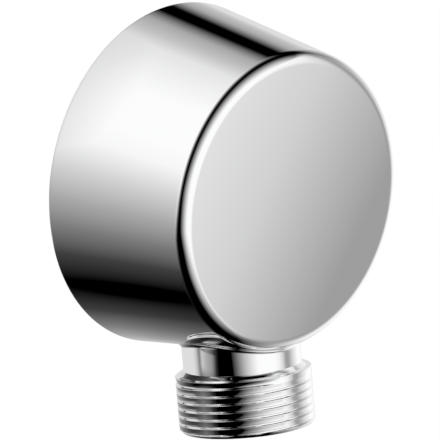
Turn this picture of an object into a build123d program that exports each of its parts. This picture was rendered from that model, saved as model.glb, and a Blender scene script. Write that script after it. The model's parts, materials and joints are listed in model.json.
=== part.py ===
"""Round wall outlet elbow for a shower hose, with its wall nipple and non-return valve.

Millimetres, +Z up. The wall is the plane y = 0, the front of the fitting faces -Y, and the origin
is where the inlet axis meets the wall. The outlet leans forward, so its own pieces are turned about
an axis "down the outlet" that starts where the outlet axis crosses the inlet axis.
"""
import os
from math import cos, radians, sin

from build123d import *

# Body: tapered housing
wall_radius = 26.45          # at the wall
front_radius = 23.15         # where side and front would meet without their rounding
body_depth = 26.0
front_edge_radius = 2.0
rim_edge_radius = 0.3
side_wall = 3.0
front_wall = 3.2
recess_corner_radius = 1.5

# Body: outlet, with a G 1/2 hose thread drawn at its major diameter
outlet_setback = 12.1        # wall to the point where the outlet axis crosses the inlet axis
outlet_lean = 7.0            # degrees forward of straight down
outlet_reach = 37.45         # along the outlet axis, from the inlet axis to the outlet's end
thread_radius = 20.955 / 2
neck_radius = 9.1
collar_top = 27.9            # along the outlet axis, where the neck ends
collar_bevel = 1.2           # height of the bevel between neck and thread
thread_end_chamfer = 0.9
neck_fillet_radius = 0.45

# Body: inside
hub_radius = 12.5
hub_recess = 0.5             # how far the inner faces stay behind the wall plane
socket_depth = 20.0
socket_clearance = 0.1
socket_chamfer = 0.5
passage_radius = 5.2
outlet_boss_radius = 10.0
valve_bore_radius = 7.0
valve_bore_top = 20.0        # along the outlet axis

# Wall nipple, with a G 1/2 thread drawn at its major diameter
nipple_thread_length = 13.0
nipple_thread_chamfer = 1.2
spigot_radius = 8.4
spigot_length = 9.6
spigot_chamfer = 0.6
nipple_bore_radius = 4.9
hex_across_flats = 10.0
hex_depth = 8.0
lock_groove_depth = 0.9
nipple_groove_width = 2.4
nipple_groove_depth = 1.5
nipple_groove_to_end = 1.4

# Grub screw
screw_setback = 3.2          # wall to the screw's axis
screw_radius = 2.0
screw_length = 10.0
screw_tip_radius = 0.2       # flat end of the 45 degree point
screw_hex_across_flats = 2.0
screw_hex_depth = 2.5
screw_boss_radius = 4.2
screw_clearance = 0.05

# Seals
seal_clearance = 0.03
o_ring_side_gap = 0.2
o_ring_corner = 0.5

# Non-return valve, with places measured along the outlet axis
valve_clearance = 0.1        # between the cartridge and its bore
valve_top_gap = 0.3
flange_thickness = 1.4
flange_overhang = 0.9
seat_thickness = 1.2
seat_radius = 4.2
valve_chamber_radius = 5.2
guide_pocket_radius = 5.5
valve_groove_from_top = 4.0
valve_groove_width = 2.0
valve_groove_depth = 0.9
poppet_head_radius = 4.75
poppet_head_thickness = 1.3
poppet_seal_thickness = 0.9
poppet_seal_inner_radius = 2.6
poppet_cap_radius = 3.3
poppet_cap_thickness = 0.9
poppet_stem_radius = 1.3
poppet_rest_gap = 0.05       # between seal and seat when shut
stem_clearance = 0.08
guide_ring_wall = 0.9
guide_thickness = 2.2
guide_hub_radius = 2.2
guide_hub_rise = 2.0
guide_spokes = 4
guide_spoke_width = 1.4
guide_from_end = 1.7
stem_past_guide = 0.5
spring_mean_radius = 3.2
spring_wire_radius = 0.3
spring_turns = 6
spring_end_gap = 0.05

# Places that follow from the sizes above
collar_end = collar_top + collar_bevel
socket_radius = spigot_radius + socket_clearance
front_inside = body_depth - front_wall
valve_top = valve_bore_top + valve_top_gap
valve_end = outlet_reach - valve_clearance
seat_face = valve_top + seat_thickness
seal_face = seat_face + poppet_rest_gap
head_top = seal_face + poppet_seal_thickness
head_bottom = head_top + poppet_head_thickness
guide_bottom = outlet_reach - guide_from_end
guide_top = guide_bottom - guide_thickness

# The outlet's own frame: local X is the part's X, local Z runs down the leaning outlet axis
outlet_plane = Plane(
    origin=(0, -outlet_setback, 0),
    x_dir=(1, 0, 0),
    z_dir=(0, -sin(radians(outlet_lean)), -cos(radians(outlet_lean))),
)


def turned(points):
    """Solid turned about local Z from (radius, height) points."""
    with BuildPart() as part:
        with BuildSketch(Plane.XZ):
            with BuildLine():
                Polyline(*points, close=True)
            make_face()
        revolve(axis=Axis.Z)
    return part.part


def ring(inner, outer, low, high, corner):
    """Seal ring about local Z, with its section rounded at the corners."""
    with BuildPart() as part:
        with BuildSketch(Plane.XZ):
            with Locations(((inner + outer) / 2, (low + high) / 2)):
                RectangleRounded(outer - inner, high - low, corner)
        revolve(axis=Axis.Z)
    return part.part


def along_wall_axis(shape):
    """Turn a shape made about local Z so that its +Z points to +Y, into the wall."""
    return Plane(origin=(0, 0, 0), x_dir=(1, 0, 0), z_dir=(0, 1, 0)) * shape


def down_outlet(shape):
    """Place a shape made about local Z on the leaning outlet axis."""
    return outlet_plane * shape


def cylinder(radius, low, high):
    """Plain cylinder about local Z between two heights."""
    return Pos(0, 0, (low + high) / 2) * Cylinder(radius, high - low)


def side_radius(setback):
    """Radius of the tapered side at a distance from the wall."""
    return wall_radius + (front_radius - wall_radius) * setback / body_depth


def housing(inset, front, corner, rim=0.0):
    """Tapered round housing, its side moved in by inset and its front at the given depth."""
    with BuildPart() as part:
        with BuildSketch(Plane.XY):
            with BuildLine():
                Polyline(
                    (0, 0),
                    (side_radius(0) - inset, 0),
                    (side_radius(front) - inset, -front),
                    (0, -front),
                    close=True,
                )
            make_face()
        revolve(axis=Axis.Y)
        rims = part.edges().filter_by(GeomType.CIRCLE).sort_by(Axis.Y)
        fillet(rims[0], corner)
        if rim:
            fillet(part.edges().filter_by(GeomType.CIRCLE).sort_by(Axis.Y)[-1], rim)
    return part.part


def hexagon_bar(across_flats, low, high):
    """Hexagonal bar about local Z."""
    with BuildPart() as part:
        with BuildSketch(Plane.XY.offset(low)):
            RegularPolygon(across_flats / 2, 6, major_radius=False)
        extrude(amount=high - low)
    return part.part


def vertical_at_screw(shape):
    """Place a shape made about local Z on the grub screw's upright axis."""
    return Pos(0, -screw_setback, 0) * shape


def outlet_spigot():
    """Solid neck, collar and threaded end, before boring, with the lathe seam on the left."""
    end_radius = thread_radius - thread_end_chamfer
    return down_outlet(Rot(0, 0, 180) * turned([
        (0, 0),
        (neck_radius, 0),
        (neck_radius, collar_top),
        (thread_radius, collar_end),
        (thread_radius, outlet_reach - thread_end_chamfer),
        (end_radius, outlet_reach),
        (0, outlet_reach),
    ]))


def back_recess():
    """Hollow in the back of the body, around the hub, the outlet boss and the screw boss."""
    recess = housing(side_wall, front_inside, recess_corner_radius)
    recess -= along_wall_axis(cylinder(hub_radius, -body_depth, -hub_recess))
    recess -= down_outlet(cylinder(outlet_boss_radius, 0, outlet_reach))
    recess -= vertical_at_screw(cylinder(screw_boss_radius, -wall_radius, 0)) & Pos(
        0, -hub_recess - body_depth / 2, 0
    ) * Box(2 * wall_radius, body_depth, 2 * wall_radius)
    return recess


def make_body():
    shell = housing(0, body_depth, front_edge_radius, rim_edge_radius)
    joined = shell + outlet_spigot()
    seam = [
        edge for edge in joined.edges()
        if edge.geom_type not in (GeomType.CIRCLE, GeomType.LINE)
        and edge.bounding_box().max.Z < -neck_radius
    ]
    joined = fillet(seam, neck_fillet_radius)
    joined -= back_recess()
    joined -= along_wall_axis(cylinder(socket_radius, -socket_depth, 0))
    joined -= along_wall_axis(turned([
        (0, -hub_recess - socket_chamfer),
        (socket_radius, -hub_recess - socket_chamfer),
        (socket_radius + socket_chamfer, -hub_recess),
        (0, -hub_recess),
    ]))
    joined -= down_outlet(cylinder(passage_radius, 0, valve_bore_top + socket_chamfer))
    joined -= down_outlet(turned([
        (0, valve_bore_top),
        (valve_bore_radius, valve_bore_top),
        (valve_bore_radius, outlet_reach - flange_thickness - 2 * valve_clearance),
        (valve_bore_radius + flange_overhang, outlet_reach - flange_thickness - 2 * valve_clearance),
        (valve_bore_radius + flange_overhang, outlet_reach + valve_clearance),
        (0, outlet_reach + valve_clearance),
    ]))
    joined -= vertical_at_screw(cylinder(screw_radius, -wall_radius - neck_fillet_radius, 0))
    return joined


def make_nipple():
    groove_end = spigot_length - nipple_groove_to_end
    groove_start = groove_end - nipple_groove_width
    groove_radius = spigot_radius - nipple_groove_depth
    nipple = turned([
        (nipple_bore_radius, -spigot_length),
        (spigot_radius - spigot_chamfer, -spigot_length),
        (spigot_radius, -spigot_length + spigot_chamfer),
        (spigot_radius, -groove_end),
        (groove_radius, -groove_end),
        (groove_radius, -groove_start),
        (spigot_radius, -groove_start),
        (spigot_radius, -screw_setback - lock_groove_depth),
        (spigot_radius - lock_groove_depth, -screw_setback),
        (spigot_radius, -screw_setback + lock_groove_depth),
        (spigot_radius, 0),
        (thread_radius, 0),
        (thread_radius, nipple_thread_length - nipple_thread_chamfer),
        (thread_radius - nipple_thread_chamfer, nipple_thread_length),
        (nipple_bore_radius, nipple_thread_length),
    ])
    nipple -= hexagon_bar(hex_across_flats, -spigot_length, -spigot_length + hex_depth)
    return along_wall_axis(nipple)


def make_nipple_o_ring():
    groove_end = spigot_length - nipple_groove_to_end
    return along_wall_axis(ring(
        spigot_radius - nipple_groove_depth + seal_clearance,
        socket_radius - seal_clearance,
        -groove_end + o_ring_side_gap,
        -groove_end + nipple_groove_width - o_ring_side_gap,
        o_ring_corner,
    ))


def make_grub_screw():
    tip = -(spigot_radius - lock_groove_depth + screw_tip_radius + 2 * screw_clearance)
    radius = screw_radius - screw_clearance
    screw = turned([
        (0, tip),
        (screw_tip_radius, tip),
        (radius, tip - radius + screw_tip_radius),
        (radius, tip - screw_length),
        (0, tip - screw_length),
    ])
    screw -= hexagon_bar(screw_hex_across_flats, tip - screw_length, tip - screw_length + screw_hex_depth)
    return vertical_at_screw(screw)


def make_valve_housing():
    barrel = valve_bore_radius - valve_clearance
    groove_low = valve_top + valve_groove_from_top
    flange_radius = barrel + flange_overhang
    flange_top = valve_end - flange_thickness
    return down_outlet(turned([
        (seat_radius, valve_top),
        (barrel, valve_top),
        (barrel, groove_low),
        (barrel - valve_groove_depth, groove_low),
        (barrel - valve_groove_depth, groove_low + valve_groove_width),
        (barrel, groove_low + valve_groove_width),
        (barrel, flange_top),
        (flange_radius, flange_top),
        (flange_radius, valve_end),
        (guide_pocket_radius, valve_end),
        (guide_pocket_radius, guide_top),
        (valve_chamber_radius, guide_top),
        (valve_chamber_radius, seat_face),
        (seat_radius, seat_face),
    ]))


def make_valve_o_ring():
    groove_low = valve_top + valve_groove_from_top
    return down_outlet(ring(
        valve_bore_radius - valve_clearance - valve_groove_depth + seal_clearance,
        valve_bore_radius - seal_clearance,
        groove_low + o_ring_side_gap,
        groove_low + valve_groove_width - o_ring_side_gap,
        (valve_groove_depth + valve_clearance) * 0.4,
    ))


def make_poppet():
    nose_radius = poppet_seal_inner_radius - seal_clearance
    cap_bottom = seal_face - seal_clearance
    return down_outlet(turned([
        (0, cap_bottom - poppet_cap_thickness),
        (nose_radius, cap_bottom - poppet_cap_thickness),
        (poppet_cap_radius, cap_bottom),
        (nose_radius, cap_bottom),
        (nose_radius, head_top),
        (poppet_head_radius, head_top),
        (poppet_head_radius, head_bottom),
        (poppet_stem_radius, head_bottom),
        (poppet_stem_radius, guide_bottom + stem_past_guide),
        (0, guide_bottom + stem_past_guide),
    ]))


def make_poppet_seal():
    return down_outlet(turned([
        (poppet_seal_inner_radius, seal_face),
        (poppet_head_radius, seal_face),
        (poppet_head_radius, head_top - seal_clearance),
        (poppet_seal_inner_radius, head_top - seal_clearance),
    ]))


def make_valve_guide():
    outer = guide_pocket_radius - valve_clearance / 2
    rim = cylinder(outer, guide_top, guide_bottom) - cylinder(outer - guide_ring_wall, guide_top, guide_bottom)
    guide = rim + cylinder(guide_hub_radius, guide_top - guide_hub_rise, guide_bottom)
    spoke_length = outer - guide_ring_wall / 2
    spoke = Pos(spoke_length / 2, 0, (guide_top + guide_bottom) / 2) * Box(
        spoke_length, guide_spoke_width, guide_thickness
    )
    for turn in range(guide_spokes):
        guide += Rot(0, 0, turn * 360 / guide_spokes) * spoke
    guide -= cylinder(poppet_stem_radius + stem_clearance, guide_top - guide_hub_rise, guide_bottom)
    return down_outlet(guide)


def make_spring():
    low = head_bottom + spring_wire_radius + spring_end_gap
    high = guide_top - spring_wire_radius - spring_end_gap
    pitch = (high - low) / spring_turns
    coil = Helix(pitch, high - low, spring_mean_radius)
    wire = Plane(origin=coil @ 0, z_dir=coil % 0) * Circle(spring_wire_radius)
    return down_outlet(Pos(0, 0, low) * sweep(wire, path=coil))


nodes = {
    "body": make_body(),
    "wall_nipple": make_nipple(),
    "nipple_o_ring": make_nipple_o_ring(),
    "grub_screw": make_grub_screw(),
    "valve_housing": make_valve_housing(),
    "valve_o_ring": make_valve_o_ring(),
    "valve_poppet": make_poppet(),
    "poppet_seal": make_poppet_seal(),
    "valve_guide": make_valve_guide(),
    "valve_spring": make_spring(),
}

os.makedirs("parts", exist_ok=True)
for name, shape in nodes.items():
    export_step(shape, f"parts/{name}.step")
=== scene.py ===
# %% [markdown]
# # A chrome wall outlet for a shower hose
# The real fitting is a chromed brass casting. A brass nipple holds it to the wall, a grub screw locks it
# there, and a small non-return valve sits in its leaning outlet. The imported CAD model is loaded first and
# is the measure of everything: all pieces here are in metres, in its frame, with the wall at y = 0.

# %% Load the frame
import json
import math

import bpy
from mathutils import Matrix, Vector

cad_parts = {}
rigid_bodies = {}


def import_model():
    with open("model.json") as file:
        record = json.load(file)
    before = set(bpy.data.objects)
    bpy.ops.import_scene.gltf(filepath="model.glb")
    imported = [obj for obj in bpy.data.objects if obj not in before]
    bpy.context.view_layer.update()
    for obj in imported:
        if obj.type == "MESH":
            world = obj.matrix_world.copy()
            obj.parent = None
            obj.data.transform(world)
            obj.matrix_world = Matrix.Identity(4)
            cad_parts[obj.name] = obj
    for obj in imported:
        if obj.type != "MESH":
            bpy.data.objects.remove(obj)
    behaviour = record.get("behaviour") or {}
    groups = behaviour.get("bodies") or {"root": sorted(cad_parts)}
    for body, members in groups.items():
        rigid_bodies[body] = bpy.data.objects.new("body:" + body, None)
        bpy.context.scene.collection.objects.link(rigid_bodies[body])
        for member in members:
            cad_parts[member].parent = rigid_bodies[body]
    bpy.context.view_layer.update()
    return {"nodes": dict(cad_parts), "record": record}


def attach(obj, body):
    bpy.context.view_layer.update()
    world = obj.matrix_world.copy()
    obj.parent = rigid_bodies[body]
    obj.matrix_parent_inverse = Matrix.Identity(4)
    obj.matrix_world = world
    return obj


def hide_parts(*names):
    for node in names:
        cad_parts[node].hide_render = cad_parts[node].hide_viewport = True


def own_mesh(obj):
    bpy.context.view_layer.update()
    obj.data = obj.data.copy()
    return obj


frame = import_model()
mm = 0.001

# %% [markdown]
# ## Sizes of the casting
# The sizes are those of the CAD part. The outlet has an axis of its own, which leans forward, so a point
# on it is given by a radius, an angle round the axis and a distance along it from the inlet axis.

# %% Sizes and the outlet's axis
WALL_RADIUS = 26.45 * mm
FRONT_RADIUS = 23.15 * mm
DEPTH = 26.0 * mm
FRONT_ROUNDING = 2.0 * mm
RIM_ROUNDING = 0.3 * mm
TAPER = math.atan2(WALL_RADIUS - FRONT_RADIUS, DEPTH)

OUTLET_SETBACK = 12.1 * mm
OUTLET_LEAN = math.radians(7.0)
OUTLET_REACH = 37.45 * mm
NECK_RADIUS = 9.1 * mm
NECK_FILLET = 0.6 * mm
CREST_RADIUS = 10.4775 * mm

outlet_start = Vector((0, -OUTLET_SETBACK, 0))
outlet_down = Vector((0, -math.sin(OUTLET_LEAN), -math.cos(OUTLET_LEAN)))
outlet_side = Vector((1, 0, 0))
outlet_front = outlet_down.cross(outlet_side)


def on_outlet(radius, angle, along):
    """Point beside the outlet axis."""
    across = outlet_side * math.cos(angle) + outlet_front * math.sin(angle)
    return outlet_start + outlet_down * along + across * radius


print("outlet end in mm:", [round(c / mm, 2) for c in on_outlet(0, 0, OUTLET_REACH)])

# %% [markdown]
# ## Turning on a lathe
# Nearly every piece of this fitting comes off a lathe. A profile is drawn as a chain of extruded points
# and swept round its axis with Spin. The seam is then merged, and the normals are made to face outwards.

# %% Lathe helpers
MERGE = 0.0005 * mm


def deselect():
    """Leave edit mode and select nothing."""
    if bpy.context.object and bpy.context.object.mode != "OBJECT":
        bpy.ops.object.mode_set(mode="OBJECT")
    bpy.ops.object.select_all(action="DESELECT")


def pick(piece):
    """Make one piece the selected and active one."""
    deselect()
    piece.select_set(True)
    bpy.context.view_layer.objects.active = piece


def turn(name, profile, start, axis, radial, steps):
    """Turn a profile of (radius, distance along the axis) points."""
    deselect()
    bpy.ops.object.add(type="MESH", enter_editmode=True, location=(0, 0, 0))
    piece = bpy.context.object
    piece.name = name
    piece.data.name = name
    points = [start + axis * along + radial * radius for radius, along in profile]
    bpy.ops.mesh.primitive_circle_add(vertices=3, radius=0.1 * mm, location=points[0])
    bpy.ops.mesh.merge(type="CENTER")
    for here, there in zip(points, points[1:]):
        bpy.ops.mesh.extrude_region_move(TRANSFORM_OT_translate={"value": there - here})
    bpy.ops.mesh.select_all(action="SELECT")
    bpy.ops.mesh.spin(steps=steps, angle=2 * math.pi, center=start, axis=axis)
    bpy.ops.mesh.select_all(action="SELECT")
    bpy.ops.mesh.remove_doubles(threshold=MERGE)
    bpy.ops.mesh.normals_make_consistent(inside=False)
    bpy.ops.object.mode_set(mode="OBJECT")
    return piece


def arc(centre, radius, first, last, parts):
    """Points of a round stretch of a profile, with angles in degrees."""
    angles = [math.radians(first + (last - first) * i / parts) for i in range(parts + 1)]
    return [(centre[0] + radius * math.cos(a), centre[1] + radius * math.sin(a)) for a in angles]


def cut(piece, tool, operation="DIFFERENCE"):
    """Cut a tool from a piece, or join it on, and throw the tool away."""
    pick(piece)
    bpy.ops.object.modifier_add(type="BOOLEAN")
    step = piece.modifiers[-1]
    step.operation = operation
    step.solver = "EXACT"
    step.object = tool
    bpy.ops.object.modifier_apply(modifier=step.name)
    bpy.data.objects.remove(tool, do_unlink=True)


def triangles(piece):
    """Number of triangles in a piece."""
    return sum(len(face.vertices) - 2 for face in piece.data.polygons)


to_wall = Vector((0, 1, 0))
to_room = Vector((0, -1, 0))
sideways = Vector((1, 0, 0))
origin = Vector((0, 0, 0))

# %% [markdown]
# ## The housing
# The housing is a plain taper with a softly rounded front edge. Chrome shows every ripple of the mesh, so
# the taper and the flat front get extra rings close to the rounding. They keep the shading of the
# rounding from running out over the flat surfaces.

# %% Housing
front_turn = 90 - math.degrees(TAPER)
edge_back = FRONT_ROUNDING * math.tan(math.radians(front_turn) / 2)
edge_centre = (FRONT_RADIUS - edge_back, DEPTH - FRONT_ROUNDING)
front_edge = arc(edge_centre, FRONT_ROUNDING, math.degrees(TAPER), 90, 28)
rim_turn = 90 + math.degrees(TAPER)
rim_back = RIM_ROUNDING * math.tan(math.radians(rim_turn) / 2)
rim_edge = arc((WALL_RADIUS - rim_back, RIM_ROUNDING), RIM_ROUNDING, -90, math.degrees(TAPER), 6)


def between(first, last, share):
    """Point on the straight line between two profile points."""
    return tuple(a + (b - a) * share for a, b in zip(first, last))


side_rings = [between(rim_edge[-1], front_edge[0], share) for share in (0.01, 0.2, 0.4, 0.6, 0.8, 0.99)]
flat_front = [(edge_centre[0] - 0.15 * mm, DEPTH), (15 * mm, DEPTH), (7 * mm, DEPTH), (0, DEPTH)]
housing_profile = [(0, 0), (20 * mm, 0)] + rim_edge + side_rings + front_edge + flat_front
body = turn("chrome_body", housing_profile, origin, to_room, sideways, 512)
print("housing:", triangles(body), "triangles")

# %% [markdown]
# ## The outlet
# The neck runs down from the taper through a small fillet to a bevelled collar and a hose thread. All of
# it is one lathe blank at first. The fillet is then draped on the taper: each ring of it is let up along
# the axis until it meets the housing, and stands off by what the fillet needs at that radius. The thread
# is cut by moving the rings in by a groove that climbs one pitch a turn and runs out at the collar.

# %% Outlet blank
COLLAR_TOP = 27.9 * mm
BEVEL_END = 28.5 * mm
BEVEL_RADIUS = 9.8 * mm
COLLAR_END = 28.7 * mm
END_CHAMFER = 0.5 * mm
BLANK_TOP = 17.0 * mm
BLANK_CORE = 8.0 * mm
NECK_TOP = 22.0 * mm
TUCK = 0.2 * mm
FLARE_STEP = 0.01 * mm
FILLET_PARTS = 10
BEVEL_PARTS = 22
THREAD_RINGS = 240
STRAIGHT_MARK = NECK_TOP + 0.5 * mm

fillet_angles = [math.radians(90 * i / FILLET_PARTS) for i in range(FILLET_PARTS + 1)]
flare_radii = [NECK_RADIUS + NECK_FILLET + TUCK]
flare_radii += [NECK_RADIUS + NECK_FILLET * (1 - math.sin(angle)) for angle in fillet_angles]
flare_marks = [NECK_TOP + FLARE_STEP * i for i in range(len(flare_radii))]
straight_marks = [STRAIGHT_MARK + 0.04 * mm, STRAIGHT_MARK + 0.1 * mm]
thread_length = OUTLET_REACH - 0.02 * mm - COLLAR_END
thread_marks = [COLLAR_END + thread_length * i / THREAD_RINGS for i in range(THREAD_RINGS + 1)]
bevel_marks = [COLLAR_TOP + (COLLAR_END - COLLAR_TOP) * i / BEVEL_PARTS for i in range(1, BEVEL_PARTS)]
neck_marks = [25.9 * mm, 26.5 * mm, 27.1 * mm, COLLAR_TOP - 0.1 * mm, COLLAR_TOP]
blank = [(0, BLANK_TOP), (BLANK_CORE, BLANK_TOP)]
blank += list(zip(flare_radii, flare_marks))
blank += [(NECK_RADIUS, mark) for mark in straight_marks]
blank += [(NECK_RADIUS, mark) for mark in neck_marks]
blank += [(NECK_RADIUS, mark) for mark in bevel_marks]
blank += [(CREST_RADIUS, mark) for mark in thread_marks]
blank += [(CREST_RADIUS - END_CHAMFER, OUTLET_REACH), (0, OUTLET_REACH)]
outlet = turn("outlet", blank, outlet_start, outlet_down, outlet_side, 192)
print("outlet blank:", triangles(outlet), "triangles")

# %% [markdown]
# The hose thread of this fitting is finer than the standard drawing of its size, with broad crests and
# narrow grooves, so its pitch is a value of its own here. The first groove starts at the front of the
# outlet, just below the collar, and is a little deeper. The thread is placed so that its crests lie where
# the photograph has them.

# %% Drape the fillet and cut the thread
THREAD_PITCH = 1.21 * mm
THREAD_DEPTH = 0.25 * mm
FIRST_DEPTH = 0.3 * mm
CREST_SLOPE = 0.06 * mm
VALLEY_SHARE = 0.72
FLANK_SHARE = 0.03
CREST_MARK = 29.95 * mm
CREST_ANGLE = math.radians(190)
GROOVE_START = math.radians(92)
GROOVE_FULL = math.radians(128)
GROOVE_FADE = math.radians(190)
GROOVE_FADED = math.radians(260)
TUCK_RISE = 0.2
HAIR = 0.001 * mm


def ease(low, high, value):
    """Smooth step from 0 to 1."""
    share = min(max((value - low) / (high - low), 0.0), 1.0)
    return share * share * (3 - 2 * share)


def blank_radius(along):
    """Outline of the collar, the crests and the end chamfer."""
    bevel = NECK_RADIUS + (BEVEL_RADIUS - NECK_RADIUS) * (along - COLLAR_TOP) / (BEVEL_END - COLLAR_TOP)
    step = BEVEL_RADIUS + (CREST_RADIUS - BEVEL_RADIUS) * (along - BEVEL_END) / (COLLAR_END - BEVEL_END)
    chamfer = CREST_RADIUS - END_CHAMFER + (OUTLET_REACH - along)
    return max(NECK_RADIUS, min(max(bevel, step), chamfer, CREST_RADIUS))


def thread_radius(angle, along):
    """Radius of the threaded end at an angle round the axis and a distance along it."""
    turned = angle if angle > -math.pi / 2 else angle + 2 * math.pi
    turns = (along - CREST_MARK) / THREAD_PITCH - (turned - CREST_ANGLE) / (2 * math.pi)
    share = turns - math.floor(turns)
    slope = CREST_SLOPE
    depth = THREAD_DEPTH
    if turns < 0:
        first = 1 - ease(GROOVE_FADE, GROOVE_FADED, turned)
        slope += (FIRST_DEPTH - slope) * first
        depth += (FIRST_DEPTH - depth) * first
    groove = slope * math.sin(math.pi / 2 * min(share / VALLEY_SHARE, 1))
    groove += (depth - slope) * ease(VALLEY_SHARE - FLANK_SHARE, VALLEY_SHARE, share)
    groove *= math.cos(math.pi / 2 * max(share - VALLEY_SHARE, 0) / (1 - VALLEY_SHARE))
    if turns < 0:
        groove *= ease(GROOVE_START, GROOVE_FULL, turned)
    return min(blank_radius(along), CREST_RADIUS - groove)


def housing_under(radius, angle):
    """Distance along the outlet axis at which the housing's surface lies beside it."""
    found, hit, _, _ = body.ray_cast(on_outlet(radius, angle, 60 * mm), -outlet_down)
    return (hit - outlet_start).dot(outlet_down) if found else NECK_TOP


for vertex in outlet.data.vertices:
    offset = vertex.co - outlet_start
    along = offset.dot(outlet_down)
    radius = (offset - outlet_down * along).length
    if radius < BLANK_CORE + 0.5 * mm:
        continue
    angle = math.atan2(offset.dot(outlet_front), offset.dot(outlet_side))
    if along < NECK_TOP + 1 * mm:
        inset = NECK_RADIUS + NECK_FILLET - radius
        if inset < -HAIR:
            stand_off = inset * TUCK_RISE
        else:
            stand_off = NECK_FILLET - math.sqrt(max(NECK_FILLET ** 2 - inset ** 2, 0))
        along = housing_under(radius, angle) + stand_off + max(along - STRAIGHT_MARK, 0)
    elif COLLAR_TOP + HAIR < along < OUTLET_REACH - HAIR:
        radius = thread_radius(angle, along)
    vertex.co = on_outlet(radius, angle, along)
outlet.data.update()
print("thread turns:", round((OUTLET_REACH - COLLAR_END) / THREAD_PITCH, 1))

# %% [markdown]
# ## The hollow back
# From behind, the casting is a cup with a hub in it for the wall nipple, a boss round the waterway and a
# small boss for the grub screw. The hollow is turned like the housing, and the hub and bosses are taken
# out of that tool before it cuts, so that they are left standing in the casting.

# %% Hollow, socket and bores
SIDE_WALL = 3.0 * mm
FRONT_WALL = 3.2 * mm
HUB_RADIUS = 12.5 * mm
HUB_BACK = 0.5 * mm
SOCKET_RADIUS = 8.5 * mm
SOCKET_DEPTH = 20.0 * mm
SOCKET_CHAMFER = 0.5 * mm
RECESS_ROUNDING = 1.5 * mm
PASSAGE_RADIUS = 5.2 * mm
BOSS_RADIUS = 10.0 * mm
VALVE_BORE_RADIUS = 7.0 * mm
VALVE_BORE_TOP = 20.0 * mm
FLANGE_RADIUS = 7.9 * mm
FLANGE_DEPTH = 1.6 * mm
SCREW_SETBACK = 3.2 * mm
SCREW_RADIUS = 2.0 * mm
SCREW_BOSS_RADIUS = 4.2 * mm
TRIM_WIDTH = 20.0 * mm
OVERCUT = 1.0 * mm


def taper_radius(depth):
    """Radius of the housing's side at a depth from the wall."""
    return WALL_RADIUS + (FRONT_RADIUS - WALL_RADIUS) * depth / DEPTH


recess_depth = DEPTH - FRONT_WALL
recess_edge = taper_radius(recess_depth) - SIDE_WALL
recess_corner = (
    recess_edge - RECESS_ROUNDING * math.tan(math.radians(front_turn) / 2),
    recess_depth - RECESS_ROUNDING,
)
recess_profile = [(0, -OVERCUT), (taper_radius(-OVERCUT) - SIDE_WALL, -OVERCUT)]
recess_profile += arc(recess_corner, RECESS_ROUNDING, math.degrees(TAPER), 90, 10)
recess_profile += [(0, recess_depth)]
recess = turn("recess", recess_profile, origin, to_room, sideways, 256)
hub_profile = [(0, HUB_BACK), (HUB_RADIUS, HUB_BACK), (HUB_RADIUS, DEPTH + OVERCUT), (0, DEPTH + OVERCUT)]
cut(recess, turn("hub", hub_profile, origin, to_room, sideways, 192))
boss_profile = [(0, 0), (BOSS_RADIUS, 0), (BOSS_RADIUS, OUTLET_REACH), (0, OUTLET_REACH)]
cut(recess, turn("boss", boss_profile, outlet_start, outlet_down, outlet_side, 192))
screw_place = Vector((0, -SCREW_SETBACK, 0))
downwards = Vector((0, 0, -1))
screw_boss_profile = [(0, 0), (SCREW_BOSS_RADIUS, 0), (SCREW_BOSS_RADIUS, WALL_RADIUS), (0, WALL_RADIUS)]
screw_boss = turn("screw_boss", screw_boss_profile, screw_place, downwards, sideways, 96)
deselect()
bpy.ops.mesh.primitive_cube_add(size=1, location=(0, TRIM_WIDTH / 2 - HUB_BACK, -15 * mm))
bpy.ops.transform.resize(value=(TRIM_WIDTH, TRIM_WIDTH, 2 * TRIM_WIDTH))
trim = bpy.context.object
bpy.ops.object.transform_apply(location=True, rotation=True, scale=True)
cut(screw_boss, trim)
cut(recess, screw_boss)
cut(body, recess)
print("housing with its hollow:", triangles(body), "triangles")

# %% [markdown]
# The outlet is joined on before the bores are cut, so that one smooth bore runs through both. The socket
# for the nipple comes from the back, the waterway and the seat for the valve run along the leaning axis,
# and the grub screw's hole goes straight up from below.

# %% Join the outlet and bore it
cut(body, outlet, "UNION")
socket_mouth = SOCKET_RADIUS + SOCKET_CHAMFER + HUB_BACK + OVERCUT
socket_profile = [
    (0, -OVERCUT),
    (socket_mouth, -OVERCUT),
    (SOCKET_RADIUS, HUB_BACK + SOCKET_CHAMFER),
    (SOCKET_RADIUS, SOCKET_DEPTH),
    (0, SOCKET_DEPTH),
]
cut(body, turn("socket", socket_profile, origin, to_room, sideways, 192))
bore_profile = [
    (0, 2 * mm),
    (PASSAGE_RADIUS, 2 * mm),
    (PASSAGE_RADIUS, VALVE_BORE_TOP),
    (VALVE_BORE_RADIUS, VALVE_BORE_TOP),
    (VALVE_BORE_RADIUS, OUTLET_REACH - FLANGE_DEPTH),
    (FLANGE_RADIUS, OUTLET_REACH - FLANGE_DEPTH),
    (FLANGE_RADIUS, OUTLET_REACH + OVERCUT),
    (0, OUTLET_REACH + OVERCUT),
]
cut(body, turn("bore", bore_profile, outlet_start, outlet_down, outlet_side, 192))
hole_profile = [(0, 7 * mm), (SCREW_RADIUS, 7 * mm), (SCREW_RADIUS, 30 * mm), (0, 30 * mm)]
cut(body, turn("screw_hole", hole_profile, screw_place, downwards, sideways, 64))
pick(body)
bpy.ops.object.mode_set(mode="EDIT")
bpy.ops.mesh.select_all(action="SELECT")
bpy.ops.mesh.remove_doubles(threshold=MERGE)
bpy.ops.mesh.normals_make_consistent(inside=False)
bpy.ops.object.mode_set(mode="OBJECT")
bpy.ops.object.shade_smooth_by_angle(angle=math.radians(35))


def on_thread(point):
    """Whether a point lies on the flanks of the hose thread."""
    offset = point - outlet_start
    along = offset.dot(outlet_down)
    radius = (offset - outlet_down * along).length
    return radius > NECK_RADIUS and COLLAR_END < along < OUTLET_REACH - END_CHAMFER


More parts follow.
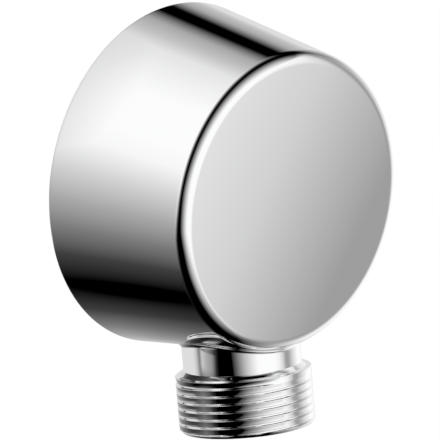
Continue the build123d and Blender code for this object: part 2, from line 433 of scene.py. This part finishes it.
threaded = [on_thread(vertex.co) for vertex in body.data.vertices]
for edge in body.data.edges:
    if all(threaded[corner] for corner in edge.vertices):
        edge.use_edge_sharp = False
print("finished body:", triangles(body), "triangles")

# %% [markdown]
# ## Inner pieces
# The other pieces keep their CAD shape. A CAD mesh is loose flat triangles, so each piece here is a copy
# of its node whose points are merged and whose round faces are shaded smooth.

# %% Copies of the inner nodes
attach(body, "fitting")
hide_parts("body")
body_of = {node: name for name, nodes in frame["record"]["behaviour"]["bodies"].items() for node in nodes}


def stand_in(piece, node):
    """Let a piece take a CAD node's place, on the node's own body."""
    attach(piece, body_of[node])
    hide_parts(node)


def smooth_copy(node):
    """Merged, smooth-shaded copy of a CAD node that stands in its place."""
    deselect()
    piece = bpy.data.objects.new(node + "_smooth", frame["nodes"][node].data.copy())
    bpy.context.scene.collection.objects.link(piece)
    pick(piece)
    bpy.ops.object.mode_set(mode="EDIT")
    bpy.ops.mesh.select_all(action="SELECT")
    bpy.ops.mesh.remove_doubles(threshold=0.001 * mm)
    bpy.ops.object.mode_set(mode="OBJECT")
    bpy.ops.object.shade_smooth_by_angle(angle=math.radians(28))
    stand_in(piece, node)
    return piece


nipple_seal = smooth_copy("nipple_o_ring")
grub_screw = smooth_copy("grub_screw")
cartridge = smooth_copy("valve_housing")
cartridge_seal = smooth_copy("valve_o_ring")
poppet = smooth_copy("valve_poppet")
poppet_seal = smooth_copy("poppet_seal")
guide = smooth_copy("valve_guide")
spring = smooth_copy("valve_spring")

# %% [markdown]
# ## The wall nipple
# The nipple is turned from brass bar: a standard half-inch pipe thread for the wall, a spigot with grooves
# for its seal and for the point of the grub screw, and a hexagon socket for the key that drives it home.
# Here the thread has its standard pitch, and it is cut like the hose thread, by a formula for the radius.

# %% Wall nipple
NIPPLE_PITCH = 25.4 / 14 * mm
NIPPLE_THREAD_DEPTH = 1.0 * mm
NIPPLE_END = 13.0 * mm
NIPPLE_CHAMFER = 1.2 * mm
SPIGOT_RADIUS = 8.4 * mm
SPIGOT_END = -9.6 * mm
NIPPLE_BORE = 4.9 * mm
SEAL_GROOVE = (-8.2 * mm, -5.8 * mm, 6.9 * mm)
LOCK_GROOVE = 0.9 * mm
HEX_FLATS = 10.0 * mm
HEX_DEPTH = 8.0 * mm
SPIGOT_CHAMFER = 0.6 * mm
NIPPLE_RINGS = 150

nipple_profile = [
    (NIPPLE_BORE, SPIGOT_END),
    (SPIGOT_RADIUS - SPIGOT_CHAMFER, SPIGOT_END),
    (SPIGOT_RADIUS, SPIGOT_END + SPIGOT_CHAMFER),
    (SPIGOT_RADIUS, SEAL_GROOVE[0]),
    (SEAL_GROOVE[2], SEAL_GROOVE[0]),
    (SEAL_GROOVE[2], SEAL_GROOVE[1]),
    (SPIGOT_RADIUS, SEAL_GROOVE[1]),
    (SPIGOT_RADIUS, -SCREW_SETBACK - LOCK_GROOVE),
    (SPIGOT_RADIUS - LOCK_GROOVE, -SCREW_SETBACK),
    (SPIGOT_RADIUS, -SCREW_SETBACK + LOCK_GROOVE),
    (SPIGOT_RADIUS, 0),
]
nipple_profile += [(CREST_RADIUS, NIPPLE_END * i / NIPPLE_RINGS) for i in range(NIPPLE_RINGS)]
nipple_profile += [
    (CREST_RADIUS - NIPPLE_CHAMFER, NIPPLE_END),
    (NIPPLE_BORE, NIPPLE_END),
    (NIPPLE_BORE, SPIGOT_END),
]
nipple = turn("brass_nipple", nipple_profile, origin, to_wall, sideways, 160)
for vertex in nipple.data.vertices:
    along = vertex.co.y
    radius = math.hypot(vertex.co.x, vertex.co.z)
    if radius < CREST_RADIUS - 0.01 * mm:
        continue
    turns = along / NIPPLE_PITCH - math.atan2(vertex.co.x, vertex.co.z) / (2 * math.pi)
    groove = 1 - abs(2 * (turns - math.floor(turns)) - 1)
    groove = min(max(1.35 * groove - 0.2, 0.0), 1.0)
    depth = NIPPLE_THREAD_DEPTH * ease(0.2 * mm, 1.4 * mm, along)
    cut_radius = min(CREST_RADIUS - depth * groove, CREST_RADIUS - NIPPLE_CHAMFER + NIPPLE_END - along)
    vertex.co.x *= cut_radius / radius
    vertex.co.z *= cut_radius / radius
nipple.data.update()
deselect()
bpy.ops.mesh.primitive_cylinder_add(
    vertices=6,
    radius=HEX_FLATS / 2 / math.cos(math.pi / 6),
    depth=HEX_DEPTH + OVERCUT,
    location=(0, SPIGOT_END + (HEX_DEPTH - OVERCUT) / 2, 0),
    rotation=(math.pi / 2, 0, 0),
)
hexagon = bpy.context.object
bpy.ops.object.transform_apply(location=True, rotation=True, scale=True)
cut(nipple, hexagon)
pick(nipple)
bpy.ops.object.shade_smooth_by_angle(angle=math.radians(28))
stand_in(nipple, "wall_nipple")
print("nipple:", triangles(nipple), "triangles")

# %% [markdown]
# ## Finishes
# Polished chrome is almost a mirror. What makes it look real is a roughness that is close to nothing and
# not quite even, so a fine noise drives it. Rough and turned surfaces get bumps from noise and wave
# patterns in Object coordinates, at the scale of the real surface.

# %% Material helpers
colours = {entry["slot"]: entry["base_color"] for entry in frame["record"]["materials"]}


def finish(name, colour, metallic):
    """New Principled material, with its tree, shader and Object coordinates."""
    material = bpy.data.materials.new(name)
    material.use_nodes = True
    tree = material.node_tree
    shader = tree.nodes["Principled BSDF"]
    shader.inputs["Base Color"].default_value = (*colour, 1)
    shader.inputs["Metallic"].default_value = metallic
    place = tree.nodes.new("ShaderNodeTexCoord").outputs["Object"]
    return material, tree, shader, place


def noise(tree, place, scale, detail):
    """Noise pattern of a given scale."""
    pattern = tree.nodes.new("ShaderNodeTexNoise")
    pattern.inputs["Scale"].default_value = scale
    pattern.inputs["Detail"].default_value = detail
    tree.links.new(place, pattern.inputs["Vector"])
    return pattern.outputs["Fac"]


def spread(tree, value, low, high):
    """Map a pattern onto a range."""
    span = tree.nodes.new("ShaderNodeMapRange")
    span.inputs["From Min"].default_value = 0.3
    span.inputs["From Max"].default_value = 0.7
    span.inputs["To Min"].default_value = low
    span.inputs["To Max"].default_value = high
    tree.links.new(value, span.inputs["Value"])
    return span.outputs["Result"]


def dent(tree, shader, height, strength, distance):
    """Bump from a pattern."""
    bump = tree.nodes.new("ShaderNodeBump")
    bump.inputs["Strength"].default_value = strength
    bump.inputs["Distance"].default_value = distance
    tree.links.new(height, bump.inputs["Height"])
    tree.links.new(bump.outputs["Normal"], shader.inputs["Normal"])


def tint(tree, shader, value, dark, light):
    """Colour that wanders between two shades."""
    ramp = tree.nodes.new("ShaderNodeValToRGB")
    ramp.color_ramp.elements[0].color = (*dark, 1)
    ramp.color_ramp.elements[0].position = 0.3
    ramp.color_ramp.elements[1].color = (*light, 1)
    ramp.color_ramp.elements[1].position = 0.7
    tree.links.new(value, ramp.inputs["Fac"])
    tree.links.new(ramp.outputs["Color"], shader.inputs["Base Color"])


def shades(slot, *factors):
    """Darker and lighter versions of a slot's colour."""
    return [tuple(min(channel * factor, 1.0) for channel in colours[slot]) for factor in factors]


# %% The finishes
chrome, tree, shader, place = finish("polished_chrome", (0.97, 0.972, 0.975), 1.0)
tree.links.new(spread(tree, noise(tree, place, 900, 3), 0.012, 0.03), shader.inputs["Roughness"])

casting, tree, shader, place = finish("plated_casting", (0.78, 0.77, 0.74), 1.0)
grain = noise(tree, place, 2600, 4)
tree.links.new(spread(tree, grain, 0.28, 0.5), shader.inputs["Roughness"])
tint(tree, shader, noise(tree, place, 160, 2), (0.66, 0.65, 0.62), (0.84, 0.83, 0.81))
dent(tree, shader, grain, 0.5, 0.06 * mm)

brass, tree, shader, place = finish("turned_brass", colours["nipple_brass"], 1.0)
tool_marks = tree.nodes.new("ShaderNodeTexWave")
tool_marks.bands_direction = "Y"
tool_marks.inputs["Scale"].default_value = 1400
tool_marks.inputs["Distortion"].default_value = 0.6
tree.links.new(place, tool_marks.inputs["Vector"])
tree.links.new(spread(tree, noise(tree, place, 700, 3), 0.16, 0.3), shader.inputs["Roughness"])
tint(tree, shader, noise(tree, place, 120, 3), *shades("nipple_brass", 0.86, 1.06))
dent(tree, shader, tool_marks.outputs["Fac"], 0.12, 0.02 * mm)

rubber, tree, shader, place = finish("black_seal_rubber", colours["black_rubber"], 0.0)
grain = noise(tree, place, 3200, 3)
tree.links.new(spread(tree, grain, 0.42, 0.62), shader.inputs["Roughness"])
tint(tree, shader, noise(tree, place, 260, 2), *shades("black_rubber", 0.7, 1.5))
dent(tree, shader, grain, 0.25, 0.02 * mm)

steel, tree, shader, place = finish("screw_steel", colours["screw_steel"], 1.0)
tree.links.new(spread(tree, noise(tree, place, 1500, 3), 0.24, 0.42), shader.inputs["Roughness"])
tint(tree, shader, noise(tree, place, 420, 2), *shades("screw_steel", 0.8, 1.15))

white_plastic, tree, shader, place = finish("valve_plastic", colours["valve_plastic"], 0.0)
grain = noise(tree, place, 2400, 3)
tree.links.new(spread(tree, grain, 0.3, 0.44), shader.inputs["Roughness"])
tint(tree, shader, noise(tree, place, 200, 2), *shades("valve_plastic", 0.94, 1.03))
dent(tree, shader, grain, 0.1, 0.01 * mm)

poppet_plastic, tree, shader, place = finish("poppet_plastic", colours["poppet_plastic"], 0.0)
grain = noise(tree, place, 2400, 3)
tree.links.new(spread(tree, grain, 0.28, 0.42), shader.inputs["Roughness"])
tint(tree, shader, noise(tree, place, 220, 2), *shades("poppet_plastic", 0.9, 1.08))
dent(tree, shader, grain, 0.1, 0.01 * mm)

spring_wire, tree, shader, place = finish("spring_wire", colours["spring_steel"], 1.0)
tree.links.new(spread(tree, noise(tree, place, 2000, 3), 0.16, 0.3), shader.inputs["Roughness"])
tint(tree, shader, noise(tree, place, 500, 2), *shades("spring_steel", 0.88, 1.05))


def dress(piece, *materials):
    """Give a piece its materials, in place of any that it has."""
    piece.data.materials.clear()
    for material in materials:
        piece.data.materials.append(material)


dress(body, chrome, casting)
dress(nipple, brass)
for seal in (nipple_seal, cartridge_seal, poppet_seal):
    dress(seal, rubber)
dress(grub_screw, steel)
dress(cartridge, white_plastic)
dress(guide, white_plastic)
dress(poppet, poppet_plastic)
dress(spring, spring_wire)
print("finishes:", len(bpy.data.materials))

# %% [markdown]
# The polish stops at the rim: inside the cup and in the bores the plating lies on the rough casting. Those
# faces are the ones that lie well inside the housing's own outline.

# %% Casting finish on the inside


def inside_depth(point):
    """How far a point lies inside the outer shape of the body."""
    depth = -point.y
    in_housing = min(taper_radius(depth) - math.hypot(point.x, point.z), DEPTH - depth)
    offset = point - outlet_start
    along = offset.dot(outlet_down)
    in_neck = BLANK_TOP < along < OUTLET_REACH - FLANGE_DEPTH
    in_outlet = NECK_RADIUS - (offset - outlet_down * along).length if in_neck else -1
    return max(in_housing, in_outlet)


rough_faces = 0
for face in body.data.polygons:
    hidden = inside_depth(face.center) > 0.8 * mm and face.center.y < -0.2 * mm
    face.material_index = 1 if hidden else 0
    rough_faces += hidden
print("faces with the casting finish:", rough_faces, "of", len(body.data.polygons))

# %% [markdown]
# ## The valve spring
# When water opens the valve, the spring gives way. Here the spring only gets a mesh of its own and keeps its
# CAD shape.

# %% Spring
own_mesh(spring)

# %% [markdown]
# ## The studio
# A mirror shows its surroundings, so the look of chrome is made by the studio. A photographer hangs a
# white tent round such a piece and leaves dark gaps on purpose: a big opening low behind on the left
# darkens the lower side, and the seams draw the dark lines and black edges. The tent is only seen in
# reflections. Floor and world stay plain white.

# %% Node helpers for the studio


def calc(tree, operation, *terms):
    """Math node on sockets or numbers."""
    step = tree.nodes.new("ShaderNodeMath")
    step.operation = operation
    for index, term in enumerate(terms):
        if isinstance(term, (int, float)):
            step.inputs[index].default_value = term
        else:
            tree.links.new(term, step.inputs[index])
    return step.outputs[0]


def gradient(tree, value, stops):
    """Brightness along a value from 0 to 1, as a colour ramp with (position, brightness) stops."""
    node = tree.nodes.new("ShaderNodeValToRGB")
    ramp = node.color_ramp
    while len(ramp.elements) < len(stops):
        ramp.elements.new(1.0)
    for element, (position, brightness) in zip(ramp.elements, stops):
        element.position = position
        element.color = (brightness, brightness, brightness, 1)
    tree.links.new(value, node.inputs["Fac"])
    return node.outputs["Color"]


def by_degrees(stops, full):
    """Stops given in degrees, as shares of a full range."""
    return [(degrees / full, brightness) for degrees, brightness in stops]


def direction(azimuth, elevation):
    """Unit vector towards a place in the studio. Azimuth 0 is the room side, 90 the right."""
    a = math.radians(azimuth)
    e = math.radians(elevation)
    return Vector((math.sin(a) * math.cos(e), -math.cos(a) * math.cos(e), math.sin(e)))


def only_in_mirrors(piece):
    """Hide a piece of the studio from everything but reflections."""
    for kind in ("camera", "diffuse", "transmission", "volume_scatter", "shadow"):
        setattr(piece, "visible_" + kind, False)


# %% Tent
TENT_RADIUS = 0.15
TENT_CENTRE = Vector((0, -13 * mm, -8 * mm))
OPENING = direction(-143, -51)
SEAM_NORMAL = Vector((0.224, -0.971, -0.083))
SEAM_OFFSET = 0.1
SIDE_SEAM = 51.0
PANEL_TILT = 0.48

deselect()
bpy.ops.mesh.primitive_uv_sphere_add(segments=64, ring_count=32, radius=TENT_RADIUS, location=TENT_CENTRE)
tent = bpy.context.object
tent.name = "light_tent"
bpy.ops.object.transform_apply(location=True, rotation=True, scale=True)
bpy.ops.object.shade_smooth()
only_in_mirrors(tent)

cloth = bpy.data.materials.new("tent_cloth")
cloth.use_nodes = True
tree = cloth.node_tree
tree.nodes.clear()
tent_place = tree.nodes.new("ShaderNodeTexCoord").outputs["Object"]
from_centre = tree.nodes.new("ShaderNodeVectorMath")
from_centre.operation = "SUBTRACT"
from_centre.inputs[1].default_value = TENT_CENTRE
tree.links.new(tent_place, from_centre.inputs[0])
sight = tree.nodes.new("ShaderNodeVectorMath")
sight.operation = "NORMALIZE"
tree.links.new(from_centre.outputs[0], sight.inputs[0])
split = tree.nodes.new("ShaderNodeSeparateXYZ")
tree.links.new(sight.outputs[0], split.inputs[0])
x, y, z = split.outputs


def towards(vector):
    """How far the line of sight points along a vector."""
    step = tree.nodes.new("ShaderNodeVectorMath")
    step.operation = "DOT_PRODUCT"
    tree.links.new(sight.outputs[0], step.inputs[0])
    step.inputs[1].default_value = vector
    return step.outputs["Value"]


def off(vector):
    """Angle between the line of sight and a vector, as a share of half a turn."""
    return calc(tree, "DIVIDE", calc(tree, "ARCCOSINE", towards(vector)), math.pi)


# %% Opening low behind, and a bright flap beside it
opening_stops = [(5, 0.0), (20, 0.05), (35, 0.2), (50, 0.4), (65, 0.65), (80, 0.95), (90, 1.0)]
opening = gradient(tree, off(OPENING), by_degrees(opening_stops, 180))
azimuth = calc(tree, "DIVIDE", calc(tree, "ARCTAN2", x, calc(tree, "MULTIPLY", y, -1.0)), math.pi)
elevation = calc(tree, "DIVIDE", calc(tree, "ARCSINE", z), math.pi)
from_behind = calc(tree, "SUBTRACT", 1.0, calc(tree, "ABSOLUTE", azimuth))
flap_stops = [(0, 0.8), (30, 0.75), (40, 0.6), (55, 0.0)]
flap = gradient(tree, from_behind, by_degrees(flap_stops, 180))
flap_heights = by_degrees([(60, 0.0), (65, 1.0), (80, 1.0), (90, 0.0)], 180)
flap_height = gradient(tree, calc(tree, "ADD", elevation, 0.5), flap_heights)
flap = calc(tree, "MULTIPLY", flap, flap_height)

# %% Overhead seam, which widens towards the floor
around = calc(tree, "FRACT", calc(tree, "DIVIDE", calc(tree, "ARCTAN2", z, x), 2 * math.pi))
height_share = calc(tree, "MULTIPLY", calc(tree, "ADD", z, 1.0), 0.5)
front_width = gradient(tree, height_share, [(0.17, 0.45), (0.3, 0.36), (0.4, 0.15), (0.5, 0.13), (0.6, 0.07)])
back_width = gradient(tree, height_share, [(0.25, 0.24), (0.35, 0.26), (0.5, 0.1), (0.6, 0.08)])
from_seam = calc(tree, "SUBTRACT", towards(SEAM_NORMAL), SEAM_OFFSET)
seam_front = calc(tree, "SUBTRACT", from_seam, front_width)
front_stops = [(0.0, 0.0), (0.15, 0.15), (0.3, 0.35), (0.5, 0.7), (0.65, 1.0)]
seam_back = calc(tree, "SUBTRACT", calc(tree, "MULTIPLY", from_seam, -1.0), back_width)
back_stops = [(0.0, 0.0), (0.12, 0.09), (0.2, 0.35), (0.28, 0.6), (0.36, 1.0)]
seam = calc(tree, "ADD", gradient(tree, seam_front, front_stops), gradient(tree, seam_back, back_stops))
seam_ends = by_degrees([(0, 1.0), (SIDE_SEAM - 8, 1.0), (SIDE_SEAM, 0.0), (285, 0.0), (315, 1.0)], 360)
seam = calc(tree, "MAXIMUM", seam, gradient(tree, around, seam_ends))

# %% Seam up the right side
off_side_seam = calc(tree, "ABSOLUTE", calc(tree, "SUBTRACT", around, SIDE_SEAM / 360))
off_side_seam = calc(tree, "MINIMUM", off_side_seam, calc(tree, "SUBTRACT", 1.0, off_side_seam))
side_stops = [(5, 0.0), (15, 0.4), (25, 0.55), (35, 0.8), (65, 1.0)]
side_seam = gradient(tree, off_side_seam, by_degrees(side_stops, 360))
depth_share = calc(tree, "MULTIPLY", calc(tree, "ADD", y, 1.0), 0.5)
side_seam = calc(tree, "MAXIMUM", side_seam, gradient(tree, depth_share, [(0.4, 1.0), (0.48, 0.0)]))

# %% Grey panel on the right, and the wall's shade
panel_place = calc(tree, "SUBTRACT", azimuth, calc(tree, "MULTIPLY", elevation, PANEL_TILT))
panel_stops = [(24, 1.0), (35, 0.9), (45, 0.65), (52, 0.35), (60, 0.35), (75, 0.7), (95, 1.0)]
panel = gradient(tree, panel_place, by_degrees(panel_stops, 180))
wall_shade = gradient(tree, depth_share, [(0.71, 1.0), (0.734, 0.8), (0.748, 0.74)])

# %% Light of the tent
light = calc(tree, "MULTIPLY", opening, seam)
light = calc(tree, "MULTIPLY", light, side_seam)
light = calc(tree, "MULTIPLY", light, panel)
light = calc(tree, "MAXIMUM", light, flap)
light = calc(tree, "MINIMUM", light, wall_shade)
glow = tree.nodes.new("ShaderNodeEmission")
tree.links.new(light, glow.inputs["Strength"])
tree.links.new(glow.outputs[0], tree.nodes.new("ShaderNodeOutputMaterial").inputs["Surface"])
dress(tent, cloth)
print("tent nodes:", len(tree.nodes))

# %% [markdown]
# A small white card hangs close beside the outlet, as a photographer would clip one there. The neck
# mirrors it, which keeps its left side light next to the black band. Its edges fade out.

# %% Card beside the outlet
CARD_WIDTH = 7.6 * mm
CARD_HEIGHT = 4.4 * mm
CARD_TOP = -25.2 * mm
CARD_DISTANCE = 14.8 * mm
card_side = direction(-95.5, 0)
card_axis = Vector((0, -15.5 * mm, CARD_TOP - CARD_HEIGHT / 2))

deselect()
bpy.ops.mesh.primitive_plane_add(
    size=1,
    location=card_axis + card_side * CARD_DISTANCE,
    rotation=card_side.to_track_quat("Z", "Y").to_euler(),
)
outlet_card = bpy.context.object
outlet_card.name = "outlet_card"
outlet_card.scale = (CARD_WIDTH, CARD_HEIGHT, 1)
bpy.ops.object.transform_apply(location=True, rotation=True, scale=True)
only_in_mirrors(outlet_card)
board = bpy.data.materials.new("white_board")
board.use_nodes = True
tree = board.node_tree
tree.nodes.clear()
split = tree.nodes.new("ShaderNodeSeparateXYZ")
tree.links.new(tree.nodes.new("ShaderNodeTexCoord").outputs["Object"], split.inputs[0])
to_front = calc(tree, "SUBTRACT", card_axis.y, split.outputs["Y"])
card_angle = calc(tree, "DIVIDE", calc(tree, "ARCTAN2", split.outputs["X"], to_front), math.pi)
card_angle = calc(tree, "SUBTRACT", 1.0, calc(tree, "ABSOLUTE", card_angle))
board_stops = by_degrees([(70, 0.7), (85, 0.4), (100, 0.2)], 180)
drop = calc(tree, "DIVIDE", calc(tree, "SUBTRACT", CARD_TOP, split.outputs["Z"]), CARD_HEIGHT)
across_fade = by_degrees([(70, 0.0), (76, 1.0), (92, 1.0), (99, 0.0)], 180)
down_fade = [(0.0, 0.0), (0.06, 1.0), (0.6, 1.0), (1.0, 0.0)]
solid = gradient(tree, card_angle, across_fade)
solid = calc(tree, "MULTIPLY", solid, gradient(tree, drop, down_fade))
solid = calc(tree, "MULTIPLY", solid, tree.nodes.new("ShaderNodeNewGeometry").outputs["Backfacing"])
glow = tree.nodes.new("ShaderNodeEmission")
tree.links.new(gradient(tree, card_angle, board_stops), glow.inputs["Strength"])
soft_edge = tree.nodes.new("ShaderNodeMixShader")
tree.links.new(solid, soft_edge.inputs["Fac"])
tree.links.new(tree.nodes.new("ShaderNodeBsdfTransparent").outputs[0], soft_edge.inputs[1])
tree.links.new(glow.outputs[0], soft_edge.inputs[2])
tree.links.new(soft_edge.outputs[0], tree.nodes.new("ShaderNodeOutputMaterial").inputs["Surface"])
dress(outlet_card, board)

# %% [markdown]
# The floor is a plain white sheet a hand's breadth below the fitting. For the camera and for mirrors it is
# mostly lit from within, so that it stays white, and the rest of it keeps the fitting's soft shadow. It is
# clear from below, so that the outlet can be looked at from there.

# %% Floor, world and lamp
FLOOR_LEVEL = -0.18

deselect()
bpy.ops.mesh.primitive_plane_add(size=12, location=(0, 0, FLOOR_LEVEL))
floor = bpy.context.object
floor.name = "floor"
bpy.ops.object.transform_apply(location=True, rotation=True, scale=True)
sheet = bpy.data.materials.new("white_sheet")
sheet.use_nodes = True
tree = sheet.node_tree
tree.nodes.clear()
rays = tree.nodes.new("ShaderNodeLightPath")
seen = calc(tree, "MAXIMUM", rays.outputs["Is Camera Ray"], rays.outputs["Is Glossy Ray"])
seen = calc(tree, "MAXIMUM", seen, rays.outputs["Is Transmission Ray"])
paint = tree.nodes.new("ShaderNodeBsdfDiffuse")
paint.inputs["Color"].default_value = (0.95, 0.95, 0.95, 1)
lit = tree.nodes.new("ShaderNodeEmission")
lit.inputs["Strength"].default_value = 1.0
white = tree.nodes.new("ShaderNodeMixShader")
tree.links.new(calc(tree, "MULTIPLY", seen, 0.85), white.inputs["Fac"])
tree.links.new(paint.outputs[0], white.inputs[1])
tree.links.new(lit.outputs[0], white.inputs[2])
clear = tree.nodes.new("ShaderNodeBsdfTransparent")
two_sided = tree.nodes.new("ShaderNodeMixShader")
tree.links.new(tree.nodes.new("ShaderNodeNewGeometry").outputs["Backfacing"], two_sided.inputs["Fac"])
tree.links.new(white.outputs[0], two_sided.inputs[1])
tree.links.new(clear.outputs[0], two_sided.inputs[2])
tree.links.new(two_sided.outputs[0], tree.nodes.new("ShaderNodeOutputMaterial").inputs["Surface"])
dress(floor, sheet)

world = bpy.data.worlds.new("white_room")
bpy.context.scene.world = world
world.use_nodes = True
tree = world.node_tree
room = tree.nodes["Background"]
room.inputs["Color"].default_value = (1, 1, 1, 1)
room.inputs["Strength"].default_value = 1.0

deselect()
bpy.ops.object.light_add(type="AREA", location=(-0.55, -0.65, 0.75))
lamp = bpy.context.object
lamp.name = "soft_lamp"
lamp.data.size = 0.6
lamp.data.energy = 4.0
lamp.rotation_euler = (Vector((0, -13 * mm, 0)) - lamp.location).to_track_quat("-Z", "Y").to_euler()
lamp.visible_glossy = False

# %% [markdown]
# ## The camera
# The photograph was taken from the front left and a little above, from so far away that there is almost no
# perspective. Its scale and centre were found by laying the part's outline over the picture.

# %% Camera
PHOTO_WIDTH = 440
SENSOR_WIDTH = 36
PIXELS_PER_MM = 6.57
CAMERA_DISTANCE = 3.0
photo_centre = Vector((-9.37, -20.0, -2.12)) * mm
view_from = direction(-45, 15)

deselect()
bpy.ops.object.camera_add(location=photo_centre + view_from * CAMERA_DISTANCE)
camera = bpy.context.object
camera.name = "photo_camera"
camera.rotation_euler = (-view_from).to_track_quat("-Z", "Y").to_euler()
camera.data.sensor_width = SENSOR_WIDTH
camera.data.lens = SENSOR_WIDTH * PIXELS_PER_MM * CAMERA_DISTANCE / mm / PHOTO_WIDTH
camera.data.clip_end = 20
bpy.context.scene.camera = camera
bpy.context.scene.view_settings.view_transform = "Standard"
print("lens in mm:", round(camera.data.lens, 1))
